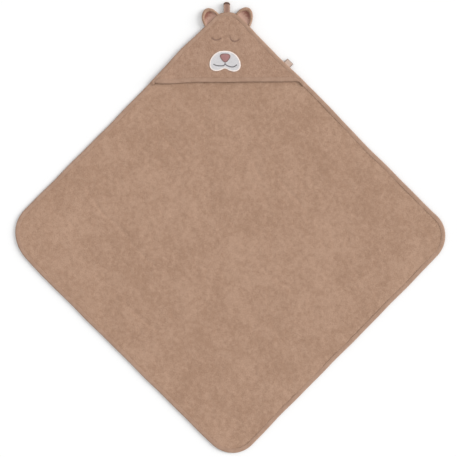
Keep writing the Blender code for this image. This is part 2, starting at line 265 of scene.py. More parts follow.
class Finish:
    """A material with a Principled shader, and the means to add nodes to it."""

    def __init__(self, name, roughness, specular, sheen=0.0):
        self.material = bpy.data.materials.new(name)
        self.material.use_nodes = True
        self.tree = self.material.node_tree
        self.shader = self.tree.nodes["Principled BSDF"]
        self.shader.inputs["Roughness"].default_value = roughness
        self.shader.inputs["Specular IOR Level"].default_value = specular
        self.shader.inputs["Sheen Weight"].default_value = sheen
        self.shader.inputs["Sheen Roughness"].default_value = 0.5

    def node(self, kind, settings=None, values=None, output=0):
        """Adds a node: its settings first, then the values or links of its inputs."""
        made = self.tree.nodes.new(kind)
        for name, value in (settings or {}).items():
            setattr(made, name, value)
        for name, value in (values or {}).items():
            self.feed(made.inputs[name], value)
        return Signal(self, made.outputs[output])

    def feed(self, socket, value):
        if isinstance(value, Signal):
            self.tree.links.new(value.socket, socket)
        else:
            socket.default_value = value

    def place(self):
        """Object coordinates, in metres."""
        return self.node("ShaderNodeTexCoord", output="Object")

    def noise(self, size, detail=2.0):
        values = {"Vector": self.place(), "Scale": 1 / size, "Detail": detail}
        return self.node("ShaderNodeTexNoise", None, values, output="Fac")

    def cells(self, size):
        values = {"Vector": self.place(), "Scale": 1 / size}
        return self.node("ShaderNodeTexVoronoi", None, values, output="Distance")

    def along(self):
        """The piece's own UV map: u runs along the cloth and v across it, both in metres."""
        uv = self.node("ShaderNodeUVMap", {"uv_map": "along"}, output="UV")
        split = self.node("ShaderNodeSeparateXYZ", None, {"Vector": uv})
        return split, Signal(self, split.socket.node.outputs["Y"])

    def between(self, share, first, second):
        """A colour between two others."""
        colours = {"Factor": share, 6: first, 7: second}
        return self.node("ShaderNodeMix", {"data_type": "RGBA"}, colours, output=2)

    def colour(self, value):
        self.feed(self.shader.inputs["Base Color"], value)

    def roughness(self, value):
        self.feed(self.shader.inputs["Roughness"], value)

    def bump(self, height, distance, strength):
        """Height is a signal from 0 to 1 and distance its real size in metres."""
        values = {"Height": height, "Distance": distance, "Strength": strength}
        self.feed(self.shader.inputs["Normal"], self.node("ShaderNodeBump", None, values, output="Normal"))

    def dress(self, *objects):
        for obj in objects:
            obj.data.materials.clear()
            obj.data.materials.append(self.material)


def paint(red, green, blue):
    """A colour given as on a paint card, 0 to 255, as the linear values that a shader works in."""
    linear = []
    for value in (red, green, blue):
        share = value / 255
        linear.append(share / 12.92 if share <= 0.04045 else ((share + 0.055) / 1.055) ** 2.4)
    return (*linear, 1.0)


# %% [markdown]
# ## Terry
# Terry is cotton with a pile of tiny loops on both faces. The loops stand in rows, lean different ways
# and were washed, so the cloth is mottled: in patches of about a centimetre, and faintly in areas as
# large as a hand that brushed over it. The mesh carries the rows of loops; the finish adds the gaps
# between single loops, which are dark because light gets lost there, and a faint sheen, because the
# ends of the loops catch light from the side.

# %% The terry finish
def terry(name, light, dark, deep):
    finish = Finish(name, roughness=0.95, sheen=0.12, specular=0.1)
    mottle = finish.noise(9 * MM, detail=3.0)
    speckle = finish.noise(3.2 * MM, detail=1.0)
    curls = finish.noise(1.3 * MM)
    brushed = finish.noise(42 * MM) * 0.28 + finish.noise(150 * MM, detail=1.0) * 0.3
    lay = (mottle * 0.55 + speckle * 0.3 + brushed).over(0.55, 0.88)
    pile = finish.between(lay, dark, light)
    gaps = 1 - curls.over(0.33, 0.52)
    finish.colour(finish.between(gaps * 0.42, pile, deep))
    height = curls * 0.7 + (1 - finish.cells(1.9 * MM)) * 0.3
    finish.bump(height, distance=0.8 * MM, strength=0.8)
    return finish


body_terry = terry("towel_terry", paint(173, 142, 121), paint(157, 126, 105), paint(120, 92, 74))
hood_terry = terry("hood_terry", paint(172, 141, 121), paint(156, 125, 105), paint(119, 90, 73))
print("terry finishes:", body_terry.material.name, hood_terry.material.name)

# %% [markdown]
# ## Woven cotton and thread
# The binding is a thin, plain woven cotton cut on the bias, so its threads cross at 45 degrees to its
# length. Seen close it's a fine check of tiny bumps. Embroidery thread is different: it's shiny along
# its length, and many strands side by side make a glossy, ribbed surface. The strands themselves
# are modelled, so their finish only needs a fine twist and a slight change of shade.

# %% Finishes for tape, thread, lining, loop and label
LABEL_FOLD = 15.0 * MM  # how far along the label's strip its fold is


def bias_cotton(name, light, dark):
    finish = Finish(name, roughness=0.85, sheen=0.08, specular=0.2)
    u, v = finish.along()
    weave = (u + v).wave(0.8 * MM) * (u - v).wave(0.8 * MM)
    fade = (finish.noise(14 * MM) + weave * 0.08).over(0.35, 0.65)
    finish.colour(finish.between(fade, dark, light))
    finish.bump(weave * 0.5 + 0.5, distance=0.12 * MM, strength=0.8)
    return finish


def floss(name, light, dark):
    finish = Finish(name, roughness=0.5, sheen=0.1, specular=0.45)
    shade = finish.noise(1.1 * MM, detail=1.0)
    finish.colour(finish.between(shade.over(0.3, 0.7), dark, light))
    finish.roughness(0.5 + 0.15 * shade)
    finish.bump(finish.noise(0.35 * MM, detail=1.0), distance=0.06 * MM, strength=0.6)
    return finish


def velour(name, light, dark):
    """A short, dense pile with no loops. Painted shade darkens it towards its outer side, where its reach is
    1, so it's paler near the seam, where its reach is 0.
    """
    finish = Finish(name, roughness=0.9, sheen=0.1, specular=0.1)
    reach = finish.node("ShaderNodeAttribute", {"attribute_name": "reach"}, output="Fac")
    # Painted shade: reach darkens the lining towards its outer side, where the rim overhangs it.
    lay = finish.noise(4 * MM, detail=3.0) * 0.4 + reach * 0.8
    finish.colour(finish.between(lay.over(0.34, 0.68), light, dark))
    finish.bump(finish.noise(0.5 * MM), distance=0.2 * MM, strength=0.7)
    return finish


def herringbone(name, light, dark):
    """Twill that changes its slant along the middle of the tape."""
    finish = Finish(name, roughness=0.8, sheen=0.08, specular=0.2)
    u, v = finish.along()
    rib = (u + v.magnitude()).wave(1.5 * MM) * 0.5 + 0.5
    shade = rib * 0.45 + v.magnitude().over(1.5 * MM, 6.5 * MM) * 0.55
    finish.colour(finish.between(shade, dark, light))
    finish.bump(rib, distance=0.25 * MM, strength=0.9)
    return finish


def woven_label(name, light, dark, border_and_fold_shade):
    """A plain satin label whose edges are darker, with painted shade along its fold."""
    finish = Finish(name, roughness=0.6, sheen=0.05, specular=0.35)
    u, v = finish.along()
    thread = v.wave(0.7 * MM) * u.wave(1.1 * MM)
    rim = v.magnitude().over(6.9 * MM, 8.1 * MM)
    # Painted shade: the fold is darkened with the border's colour.
    fold = 1 - (u - LABEL_FOLD).magnitude().over(1.0 * MM, 2.2 * MM)
    satin = finish.between((thread * 0.5 + 0.5).over(0.2, 0.8), dark, light)
    finish.colour(finish.between(rim.maths("MAXIMUM", rim, fold), satin, border_and_fold_shade))
    finish.bump(thread * 0.5 + 0.5, distance=0.1 * MM, strength=0.7)
    return finish


edge_cotton = bias_cotton("edge_cotton", paint(165, 135, 116), paint(157, 127, 108))
seam_thread = floss("seam_thread", paint(176, 146, 124), paint(160, 130, 109))
cream_thread = floss("cream_thread", paint(240, 228, 221), paint(228, 214, 207))
cream_fill = floss("cream_fill", paint(222, 219, 220), paint(206, 204, 206))
rose_thread = floss("rose_thread", paint(174, 127, 125), paint(160, 116, 115))
dark_rose_thread = floss("dark_rose_thread", paint(140, 108, 102), paint(122, 94, 90))
grey_thread = floss("grey_thread", paint(96, 90, 93), paint(77, 73, 77))
brown_thread = floss("brown_thread", paint(140, 108, 90), paint(126, 96, 79))
# The lining's dark colour is painted shade, used on its outer side under the rim.
ear_velour = velour("ear_velour", paint(174, 140, 125), paint(132, 91, 79))
loop_twill = herringbone("loop_twill", paint(184, 152, 134), paint(132, 98, 86))
# Painted shade: the dark floss of the bar across the loop's end, where the tape folds over.
fold_shade_floss = floss("loop_dark_thread", paint(104, 76, 62), paint(86, 62, 50))
# The darkest colour is the edge border and also painted shade along the fold.
label_satin = woven_label("label_satin", paint(194, 171, 157), paint(176, 153, 139), paint(144, 122, 110))
print("finishes ready")

# %% [markdown]
# ## The line of the edge
# Everything follows the towel's edge, so it's worked out once: four straight sides and four round
# corners, the one at the hood tighter. Each point has the direction that leads out of the
# cloth. A sewn edge always waves a little, so the line does too.

# %% Points along the edge
def edge_line(step):
    """Even points round the towel, anticlockwise from the hood, with outward ways and lengths."""
    places, outward = [], []
    corners = ((90, APEX_RADIUS), (180, LEFT_RADIUS), (270, BOTTOM_RADIUS), (360, RIGHT_RADIUS))
    for direction, radius in corners:
        towards = math.radians(direction)
        centre = np.array([math.cos(towards), math.sin(towards)]) * (HALF - radius * math.sqrt(2))
        for angle in np.linspace(towards - math.pi / 4, towards + math.pi / 4, 25):
            way = np.array([math.cos(angle), math.sin(angle)])
            places.append(centre + radius * way)
            outward.append(way)
    places, outward = np.array(places + places[:1]), np.array(outward + outward[:1])
    reached = run_length(places)
    length = reached[-1]
    along = np.arange(round(length / step)) * length / round(length / step)
    at, out = at_lengths(along, reached, places), unit(at_lengths(along, reached, outward))
    turn = 2 * math.pi * along / length
    wave = 0.3 * MM * np.sin(17 * turn + 1.0) + 0.25 * MM * np.sin(31 * turn + 2.0)
    return at + out * wave[:, None], out, along


def hood_end_y(x):
    """Height in the plane at which the hood's free edge reaches the towel's edge, left and right."""
    return np.where(x < 0, 349.0 * MM, 348.5 * MM)


edge_at, edge_out, edge_along = edge_line(2.2 * MM)
print("edge:", len(edge_at), "points,", round(float(edge_along[-1]), 2), "m round")

# %% [markdown]
# ## The towel's cloth
# The square is one sheet of terry. It's a grid whose rows run along the towel's sides, as its pile
# does. Each point of the upper face is a loop of the pile with its own height; patches that lie
# a little higher or lower make the cloth look soft, and a few shallow creases are left from folding.
# A square grid becomes a rounded square by bending only its corner cells. At the rim the pile is
# pressed flat, because the binding grips it there.

# %% Towel cloth
def rounded(a, b):
    """Bends the corner of a square, from 0 to 1 both ways, into a quarter of a circle."""
    return a * np.sqrt(np.maximum(0, 1 - b * b / 2))


def clear_of_lip(depth, lip=8.8 * MM):
    """0 where a binding grips the cloth and 1 from just inside its lip."""
    return smooth((depth - lip) / (2.4 * MM))


def square_face(count, inset):
    """A grid over the rounded square, `inset` inside its edge: x, y and each point's depth in the cloth."""
    reach = SIDE / 2 - inset
    line = np.linspace(-reach, reach, count + 1)
    p, q = np.meshgrid(line, line, indexing="ij")
    depth = reach - np.maximum(abs(p), abs(q)) + inset
    for sign_p, sign_q, radius in ((-1, 1, APEX_RADIUS), (1, 1, RIGHT_RADIUS),
                                   (1, -1, BOTTOM_RADIUS), (-1, -1, LEFT_RADIUS)):
        round_off = radius - inset
        a = (p * sign_p - reach + round_off) / round_off
        b = (q * sign_q - reach + round_off) / round_off
        corner = (a > 0) & (b > 0)
        p = np.where(corner, sign_p * (reach - round_off + rounded(a, b) * round_off), p)
        q = np.where(corner, sign_q * (reach - round_off + rounded(b, a) * round_off), q)
    x = p * DOWN_RIGHT[0] + q * UP_RIGHT[0]
    y = p * DOWN_RIGHT[1] + q * UP_RIGHT[1]
    return x.ravel(), y.ravel(), depth.ravel()


def rim_of_square(count):
    """Indexes of the grid's outer points, in order."""
    index = np.arange((count + 1) ** 2).reshape(count + 1, count + 1)
    sides = (index[:-1, 0], index[-1, :-1], index[:0:-1, -1], index[0, :0:-1])
    return np.concatenate(sides)


# Both ends of each crease, in mm.
CREASES = [((-336, 104), (-167, -85)), ((-156, 238), (-98, 169)), ((98, 157), (190, 42)),
           ((52, 169), (86, 118)), ((-250, -150), (-160, -232)), ((60, -60), (150, -130))]
CREASE_DEPTH, CREASE_WIDTH, CREASE_FADE = 0.75 * MM, 5 * MM, 20 * MM


def towel_height(x, y):
    """The cloth's own gentle lumps and creases."""
    height = 0.35 * MM * patches(x, y, 11 * MM, 3) + 0.65 * MM * patches(x, y, 48 * MM, 4)
    for (x0, y0), (x1, y1) in np.array(CREASES) * MM:
        length = math.hypot(x1 - x0, y1 - y0)
        along = ((x - x0) * (x1 - x0) + (y - y0) * (y1 - y0)) / length
        away = ((x - x0) * (y1 - y0) - (y - y0) * (x1 - x0)) / length
        away = away + 3 * MM * patches(along, along * 0, 35 * MM, 7)
        ends = smooth(along / CREASE_FADE) * smooth((length - along) / CREASE_FADE)
        height = height - CREASE_DEPTH * ends * np.exp(-((away / CREASE_WIDTH) ** 2))
    return height


def make_towel():
    fine, coarse, inset = 272, 136, 3 * MM
    grip_z = 2.2 * MM
    x, y, depth = square_face(fine, inset)
    top = CLOTH_TOP + 0.45 * MM * loops_of_pile(len(x), 5) + towel_height(x, y)
    upper = np.stack([x, y, drawn_to(grip_z, top, 0.7 + 0.3 * clear_of_lip(depth))], axis=1)
    x, y, depth = square_face(coarse, inset)
    low = 0.35 * MM + 0.25 * MM * (loops_of_pile(len(x), 6) + 1) / 2
    lower = np.stack([x, y, drawn_to(grip_z, low, 0.3 + 0.7 * clear_of_lip(depth))], axis=1)
    faces = grid_faces(fine + 1, fine + 1).tolist()
    faces += grid_faces(coarse + 1, coarse + 1, start=len(upper))[:, ::-1].tolist()
    rim = np.append(rim_of_square(fine), 0)
    under = np.append(rim_of_square(coarse), 0) + len(upper)
    for k in range(len(under) - 1):
        faces.append([rim[2 * k], rim[2 * k + 1], rim[2 * k + 2], under[k + 1], under[k]])
    return face_outwards(mesh_object("towel_cloth", np.vstack([upper, lower]), faces))


towel = report(make_towel())
body_terry.dress(towel)

# %% [markdown]
# ## Binding
# A strip of woven cotton, folded in two round the edge and stitched through. In section it's a narrow
# C whose lips bite into the pile. Where it runs round the hood it also holds the hood's cloth, so it's
# nearly twice as thick there. The sewing machine puckers it slightly from stitch to stitch.

# %% A folded band along any line
# Each pair is a distance inside the edge, in mm, and a height as a share of half the band's thickness.
BAND = [(10.0, 0.78), (9.6, 0.90), (9.1, 0.945), (8.5, 0.90), (7.8, 0.96), (6.8, 1.0), (5.0, 1.02),
        (3.2, 1.0), (1.8, 0.90), (0.8, 0.68), (0.15, 0.32), (0.0, 0.0)]
STITCH_INSET, STITCH_SHARE = 8.5 * MM, 0.90


def folded_band(name, at, out, along, middle, half, closed):
    outer = np.array(BAND + [(inset, -share) for inset, share in reversed(BAND[:-1])])
    inner = outer[::-2] * [0.91, 0.74] + [0.9, 0.0]
    section = np.vstack([outer, inner])
    inset = section[:, 0] * MM
    ripple = 1 + 0.035 * np.sin(along * 2 * math.pi / (6.4 * MM) + 2 * patches(along, along * 0, 40 * MM, 8))
    height = middle[:, None] + (half * ripple)[:, None] * section[:, 1]
    points = np.empty((len(at), len(section), 3))
    points[..., :2] = at[:, None] - out[:, None] * inset[None, :, None]
    points[..., 2] = height
    rows, columns = points.shape[:2]
    faces = grid_faces(rows, columns, around=True, closed=closed).tolist()
    around = run_length(section * MM)
    around = np.append(around, around[-1] + 1 * MM)
    if closed:
        uv = strip_uv(np.append(along, along[-1] + (along[1] - along[0])), around)
    else:
        faces += end_faces(rows, columns)
        uv = strip_uv(along, around, at_ends=2 * columns)
    return face_outwards(mesh_object(name, points.reshape(-1, 3), faces, uv))


on_hood_side = smooth((edge_at[:, 1] - hood_end_y(edge_at[:, 0])) / (4 * MM) + 0.5)
edge_half = (2.05 + 1.65 * on_hood_side) * MM
edge_middle = edge_half + 0.15 * MM
binding = report(folded_band("edge_band", edge_at, edge_out, edge_along, edge_middle, edge_half, closed=True))
edge_cotton.dress(binding)

# %% [markdown]
# ## The hood
# A triangle of the same terry lies on the towel's corner, sewn down along both sides, with its long
# free edge open like a pocket. The pile's rows follow the two sewn sides, so the grid is a triangle
# of square cells whose diagonal is the free edge. Sewing pulls the sides down and lets the middle
# stand a little off the towel. The free edge wanders by a few millimetres and gapes near its left end.

# %% The hood's surface
GAPE_X, GAPE_WIDTH, GAPE_RISE = -152 * MM, 19 * MM, 3.2 * MM
FROWN_DEPTH, FROWN_WIDTH = 1.4 * MM, 5 * MM


def hood_half(y, least=5 * MM):
    """Half the hood's free width at a height in the plane."""
    return np.maximum(HALF - (HEM + 0.3 * MM) * math.sqrt(2) - y, least)


def hood_top(x, y):
    """Height of the hood's upper face, without its pile."""
    half = hood_half(y)
    flat = np.minimum(45 * MM, 0.6 * half)
    rise = HOOD_SLOPE * np.maximum(hinge_y - y, 0)
    share = smooth((half - abs(x)) / (half - flat))
    soft = 0.55 * MM * patches(x, y, 38 * MM, 12) * smooth((half - abs(x)) / (15 * MM))
    gape = GAPE_RISE * np.exp(-(((x - GAPE_X) / GAPE_WIDTH) ** 2)) * smooth(1 - (y - HOOD_EDGE_Y) / (26 * MM))
    return HOOD_BASE + HOOD_CLOTH + rise * share + soft + gape


# Pairs of a place along the hood's free edge and how far the edge lies off its straight line, in mm.
EDGE_LIE = [(-184, 3), (-160, -3.4), (-132, -3), (-64, 0), (-8, 0.5), (47, 3.4), (102, 4), (160, 4.2),
            (172, 1.5), (188, -6)]


def free_edge(x):
    """How the free edge wanders off its straight line."""
    place, lie = np.array(EDGE_LIE).T * MM
    wander = sum(np.interp(x + shift * MM, place, lie) for shift in (-4, -2, 0, 2, 4)) / 5
    return wander + 0.3 * MM * patches(x, x * 0, 30 * MM, 13)


def smooth_line(points, closed, step):
    """A Catmull-Rom curve through points in the plane, as points an even step apart."""
    points = np.array(points, float)
    if closed:
        around = np.vstack([points[-1:], points, points[:2]])
    else:
        around = np.vstack([2 * points[0] - points[1], points, 2 * points[-1] - points[-2]])
    t = np.linspace(0, 1, 24, endpoint=False)[:, None]
    line = []
    for p0, p1, p2, p3 in zip(around, around[1:], around[2:], around[3:]):
        bend = (2 * p0 - 5 * p1 + 4 * p2 - p3) * t ** 2 + (3 * p1 - p0 - 3 * p2 + p3) * t ** 3
        line.append((2 * p1 + (p2 - p0) * t + bend) / 2)
    line = np.vstack(line + [points[:1] if closed else points[-1:]])
    reached = run_length(line)
    count = max(2, round(reached[-1] / step))
    even = np.linspace(0, reached[-1], count + 1)[: count if closed else count + 1]
    return at_lengths(even, reached, line)


def mirror_line(right_half):
    """The whole closed outline, anticlockwise, from its right half listed from the top down."""
    right = np.array(right_half) * MM
    left = right[1:-1] * [-1, 1]
    return np.vstack([right[:1], left, right[:0:-1]])


def face_place(points):
    return np.array(points) + [FACE_X, FACE_Y]


def face_line(points):
    """An open line on the face, from points in mm."""
    return face_place(smooth_line(np.array(points) * MM, False, 0.5 * MM))


def inside(x, y, outline):
    """Which points lie inside a closed outline."""
    found = np.zeros(len(x), bool)
    for (x0, y0), (x1, y1) in zip(outline, np.roll(outline, -1, axis=0)):
        if y0 == y1:
            continue
        crossing = (y > min(y0, y1)) & (y <= max(y0, y1))
        found ^= crossing & (x < x0 + (y - y0) * (x1 - x0) / (y1 - y0))
    return found


MUZZLE = [(0, 24.3), (10, 23.4), (18.5, 20.3), (27, 13.6), (33.4, 4.2), (35.8, -5), (35.2, -13),
          (31, -19.3), (22, -22.5), (11, -20.6), (0, -16.2)]
NOSE = [(0, 18.2), (7, 17.6), (11.4, 14.8), (12.2, 10.6), (9, 4.4), (4.4, -0.6), (0, -2.4)]
muzzle_line = face_place(smooth_line(mirror_line(MUZZLE), True, 0.8 * MM))
nose_line = face_place(smooth_line(mirror_line(NOSE), True, 0.5 * MM))
EYES = {"left": [(-30.5, 54.5), (-27.5, 51), (-22, 49), (-15.5, 50.2), (-9.5, 54)],
        "right": [(11.4, 53), (15.4, 48.8), (21, 46.7), (27.4, 48.3), (32.4, 52)]}
eye_lines = {side: face_line(points) for side, points in EYES.items()}
frown_line = face_line([(-7, 54.6), (1, 57), (10, 55.5)])


def near_line(x, y, line, reach):
    """1 on a line and 0 from `reach` away."""
    closest = np.full(len(x), 1.0)
    for px, py in line[::3]:
        closest = np.minimum(closest, np.hypot(x - px, y - py))
    return 1 - smooth(closest / reach)


def make_hood():
    count, inset = 196, 6 * MM
    leg = (HALF - inset * math.sqrt(2) - HOOD_EDGE_Y - 1.5 * MM) * math.sqrt(2)
    i, j = np.meshgrid(np.arange(count + 1), np.arange(count + 1), indexing="ij")
    kept = i + j <= count
    number = np.full(kept.shape, -1)
    number[kept] = np.arange(kept.sum())
    p, q = i[kept] * leg / count, j[kept] * leg / count
    depth = np.minimum(p, q) + inset
    radius = APEX_RADIUS - inset
    a, b = 1 - p / radius, 1 - q / radius
    corner = (a > 0) & (b > 0)
    p = np.where(corner, radius * (1 - rounded(a, b)), p)
    q = np.where(corner, radius * (1 - rounded(b, a)), q)
    x = (p - q) / math.sqrt(2)
    y = HALF - inset * math.sqrt(2) - (p + q) / math.sqrt(2)
    y = y + free_edge(x) * smooth(1 - (y - HOOD_EDGE_Y) / (45 * MM))
    pressed = inside(x, y, muzzle_line).astype(float)
    for line in eye_lines.values():
        pressed = np.maximum(pressed, near_line(x, y, line, 3.2 * MM))
    pile = 0.4 * MM * loops_of_pile(len(x), 15) + 0.25 * MM * patches(x, y, 9 * MM, 16)
    top = hood_top(x, y) + 0.35 * MM + pile * (1 - 0.9 * pressed) - 0.45 * MM * pressed
    top -= FROWN_DEPTH * near_line(x, y, frown_line, FROWN_WIDTH)
    under = hood_top(x, y) - HOOD_CLOTH + 0.25 * MM * loops_of_pile(len(x), 17)
    clear = np.minimum(clear_of_lip(depth, 8.9 * MM), clear_of_lip(y - HOOD_EDGE_Y - free_edge(x)))
    middle = hood_top(x, y) - HOOD_CLOTH / 2
    top, under = (drawn_to(middle, face, 0.6 + 0.4 * clear) for face in (top, under))
    faces = []
    for row in range(count):
        for column in range(count - row):
            face = [number[row, column], number[row + 1, column]]
            if row + column < count - 1:
                face.append(number[row + 1, column + 1])
            faces.append(face + [number[row, column + 1]])
    total = len(x)
    faces += [[k + total for k in reversed(face)] for face in faces]
    rim = [number[k, 0] for k in range(count)] + [number[count - k, k] for k in range(count)]
    rim += [number[0, count - k] for k in range(count)]
    for k, here in enumerate(rim):
        after = rim[(k + 1) % len(rim)]
        faces.append([here, after, after + total, here + total])
    points = np.vstack([np.stack([x, y, top], axis=1), np.stack([x, y, under], axis=1)])
    return face_outwards(mesh_object("hood_cloth", points, faces))


hood = report(make_hood())
hood_terry.dress(hood)

# %% [markdown]
# The tape along the hood's free edge is folded the same way. Its ends are cut slanted, along the
# towel's sides, and are pressed flat into the binding there.

# %% The tape along the hood's free edge
HEM_LEFT, HEM_RIGHT, HEM_POINTS = -184 * MM, 188 * MM, 187
HEM_END_Z, HEM_END_FADE = 3.0 * MM, 9 * MM
hem_x = np.linspace(HEM_LEFT, HEM_RIGHT, HEM_POINTS)
hem_y = HOOD_EDGE_Y + free_edge(hem_x)
hem_slope = np.gradient(hem_y, hem_x)
hem_out = unit(np.stack([hem_slope, -np.ones(len(hem_x))], axis=1))
hem_at = np.stack([hem_x, hem_y], axis=1)
hem_along = run_length(hem_at)
hem_half = np.full(len(hem_x), 2.1 * MM)
hem_middle = hood_top(hem_x, hem_y + 5 * MM) - HOOD_CLOTH / 2 + 0.1 * MM
hood_hem = report(folded_band("hood_band", hem_at, hem_out, hem_along, hem_middle, hem_half, closed=False))
place = points_of(hood_hem)
limit = HALF - 1.5 * MM - place[:, 1]
place[:, 0] = np.clip(place[:, 0], -limit, limit)
depth = (HALF - place[:, 1] - abs(place[:, 0])) / math.sqrt(2)
place[:, 2] = drawn_to(HEM_END_Z, place[:, 2], smooth(depth / HEM_END_FADE))
put_points(hood_hem, place)
edge_cotton.dress(hood_hem)

# %% [markdown]
# ## Threads grown by Geometry Nodes
# Sewing and embroidery repeat one small thing along a line, which is what Geometry Nodes are for.
# Three trees cover it all. The first sets stitches end to end on a line. The second sets strands
# across a line, close together, which is satin stitch. The third makes a strand along each line.
# The lines are plain meshes of edges. Each tree ends in real geometry, which is kept as a mesh.

# %% Three trees for thread
class ThreadTree:
    """A Geometry Nodes tree whose inputs are a line mesh, some sizes and a material."""

    def __init__(self, name, sizes):
        self.tree = bpy.data.node_groups.new(name, "GeometryNodeTree")
        self.socket = {}
        self.tree.interface.new_socket("Geometry", in_out="INPUT", socket_type="NodeSocketGeometry")
        self.tree.interface.new_socket("Geometry", in_out="OUTPUT", socket_type="NodeSocketGeometry")
        for size in sizes:
            self.socket[size] = self.new_input(size, "NodeSocketFloat")
        self.socket["Material"] = self.new_input("Material", "NodeSocketMaterial")
        self.inputs = self.tree.nodes.new("NodeGroupInput")

    def new_input(self, name, kind):
        return self.tree.interface.new_socket(name, in_out="INPUT", socket_type=kind).identifier

    def add(self, kind, links=None, **settings):
        node = self.tree.nodes.new("GeometryNode" + kind if "Node" not in kind else kind)
        for name, value in settings.items():
            setattr(node, name, value)
        for name, value in (links or {}).items():
            if isinstance(value, bpy.types.NodeSocket):
                self.tree.links.new(value, node.inputs[name])
            else:
                node.inputs[name].default_value = value
        return node

    def size(self, name):
        return self.inputs.outputs[name]

    def end(self, geometry):
        real = self.add("RealizeInstances", {"Geometry": geometry})
        soft = self.add("SetShadeSmooth", {"Geometry": real.outputs[0]})
        dyed = self.add("SetMaterial", {"Geometry": soft.outputs[0], "Material": self.size("Material")})
        out = self.tree.nodes.new("NodeGroupOutput")
        self.tree.links.new(dyed.outputs[0], out.inputs[0])
        return self

    def grain(self):
        """One strand as a long, thin grain that stands along Z."""
        ball = self.add("MeshUVSphere", {"Segments": 6, "Rings": 5, "Radius": 1.0})
        half = self.add("ShaderNodeMath", {0: self.size("Length"), 1: 0.5}, operation="MULTIPLY")
        radius = self.size("Radius")
        scale = self.add("ShaderNodeCombineXYZ", {"X": radius, "Y": radius, "Z": half.outputs[0]})
        return self.add("Transform", {"Geometry": ball.outputs[0], "Scale": scale.outputs[0]})

    def set_along(self, across):
        """Grains at an even pitch on each line, lying along it or across it."""
        curve = self.add("MeshToCurve", {"Mesh": self.inputs.outputs[0]})
        links = {"Curve": curve.outputs[0], "Length": self.size("Pitch")}
        points = self.add("CurveToPoints", links, mode="LENGTH")
        way = points.outputs["Tangent"]
        if across:
            side = self.add("ShaderNodeVectorMath", {0: way, 1: (0, 0, 1)}, operation="CROSS_PRODUCT")
            lean = self.add("ShaderNodeVectorMath", {0: way, "Scale": 0.35}, operation="SCALE")
            both = {0: side.outputs[0], 1: lean.outputs[0]}
            way = self.add("ShaderNodeVectorMath", both, operation="ADD").outputs[0]
        turn = self.add("FunctionNodeAlignRotationToVector", {"Vector": way}, axis="Z")
        grain = self.grain().outputs[0]
        links = {"Points": points.outputs[0], "Instance": grain, "Rotation": turn.outputs[0]}
        return self.add("InstanceOnPoints", links).outputs[0]

    def tubes(self):
        curve = self.add("MeshToCurve", {"Mesh": self.inputs.outputs[0]})
        ring = self.add("CurvePrimitiveCircle", {"Resolution": 6, "Radius": self.size("Radius")})
        links = {"Curve": curve.outputs[0], "Profile Curve": ring.outputs[0], "Fill Caps": True}
        return self.add("CurveToMesh", links).outputs[0]


running = ThreadTree("stitches_end_to_end", ["Pitch", "Length", "Radius"])
running.end(running.set_along(across=False))
satin = ThreadTree("strands_side_by_side", ["Pitch", "Length", "Radius"])
satin.end(satin.set_along(across=True))
strand = ThreadTree("strand_along_line", ["Radius"])
strand.end(strand.tubes())


def grow(name, tree, lines, finish, **sizes):
    """Runs a tree over lines of points in space and keeps the result as a mesh object."""
    points, edges = [], []
    for line in lines:
        first = len(points)
        points += [tuple(map(float, point)) for point in line]
        edges += [(k, k + 1) for k in range(first, len(points) - 1)]
    mesh = bpy.data.meshes.new(name + "_line")
    mesh.from_pydata(points, edges, [])
    source = add_object(name + "_line", mesh)
    modifier = source.modifiers.new("threads", "NODES")
    modifier.node_group = tree.tree
    for size, value in sizes.items():
        modifier[tree.socket[size]] = value
    modifier[tree.socket["Material"]] = finish.material
    bpy.context.view_layer.update()
    evaluated = source.evaluated_get(bpy.context.evaluated_depsgraph_get())
    grown = add_object(name, bpy.data.meshes.new_from_object(evaluated))
    bpy.data.objects.remove(source)
    return report(grown)


# %% [markdown]
# ## Machine stitching
# One row of small stitches holds the binding, and it shows on both faces. It lies in the shallow
# groove that it pulls into the band.

# %% Stitches on both bands
STITCH = {"Pitch": 3.0 * MM, "Length": 2.5 * MM, "Radius": 0.24 * MM}


def stitch_rows(at, out, middle, half, closed):
    rows = []
    for side in (1, -1):
        place = at - out * STITCH_INSET
        height = middle + side * (half * STITCH_SHARE + 0.12 * MM)
        row = np.column_stack([place, height])
        rows.append(np.vstack([row, row[:1]]) if closed else row[11:-11])
    return rows


edge_rows = stitch_rows(edge_at, edge_out, edge_middle, edge_half, closed=True)
edge_stitches = grow("edge_stitches", running, edge_rows, seam_thread, **STITCH)
hood_rows = stitch_rows(hem_at, hem_out, hem_middle, hem_half, closed=False)
hood_stitches = grow("hood_stitches", running, hood_rows, seam_thread, **STITCH)

# %% [markdown]
# ## The face
# The muzzle is a patch filled with rows of short stitches and edged with satin stitch. Nose, mouth
# and closed eyes are satin stitch too. Machine embroidery is raised: under the strands lies a pad, and
# the strands bulge over it. The eyes are in brown thread that hardly differs from the cloth.

# %% Pads under the embroidery
def on_hood(line, lift):
    line = np.asarray(line)
    return np.column_stack([line, hood_top(line[:, 0], line[:, 1]) + lift])


def shrink(line, by):
    """A closed anticlockwise line moved inwards."""
    way = unit(np.roll(line, -1, axis=0) - np.roll(line, 1, axis=0))
    return line + np.column_stack([-way[:, 1], way[:, 0]]) * by


def pad(name, line, thickness, finish):
    """A pad with a rounded rim, from an outline. Its rings go on to the middle, so it bends with the hood."""
    centre = line.mean(axis=0)
    shares = (0.08, 0.3, 0.5, 0.7, 0.87)
    levels = ((0.0, 0.05 * MM), (0.0, thickness * 0.6), (0.35 * MM, thickness * 0.9), (1.0 * MM, thickness))
    below = [on_hood(centre + (line - centre) * share, 0.05 * MM) for share in shares]
    rim = [on_hood(shrink(line, inset), height) for inset, height in levels]
    above = [on_hood(centre + (shrink(line, 1.0 * MM) - centre) * share, thickness) for share in shares]
    rings = below + rim + above[::-1]
    faces = grid_faces(len(rings), len(line), around=True).tolist() + end_faces(len(rings), len(line))
    made = face_outwards(mesh_object(name, np.vstack(rings), faces))
    finish.dress(made)
    return made


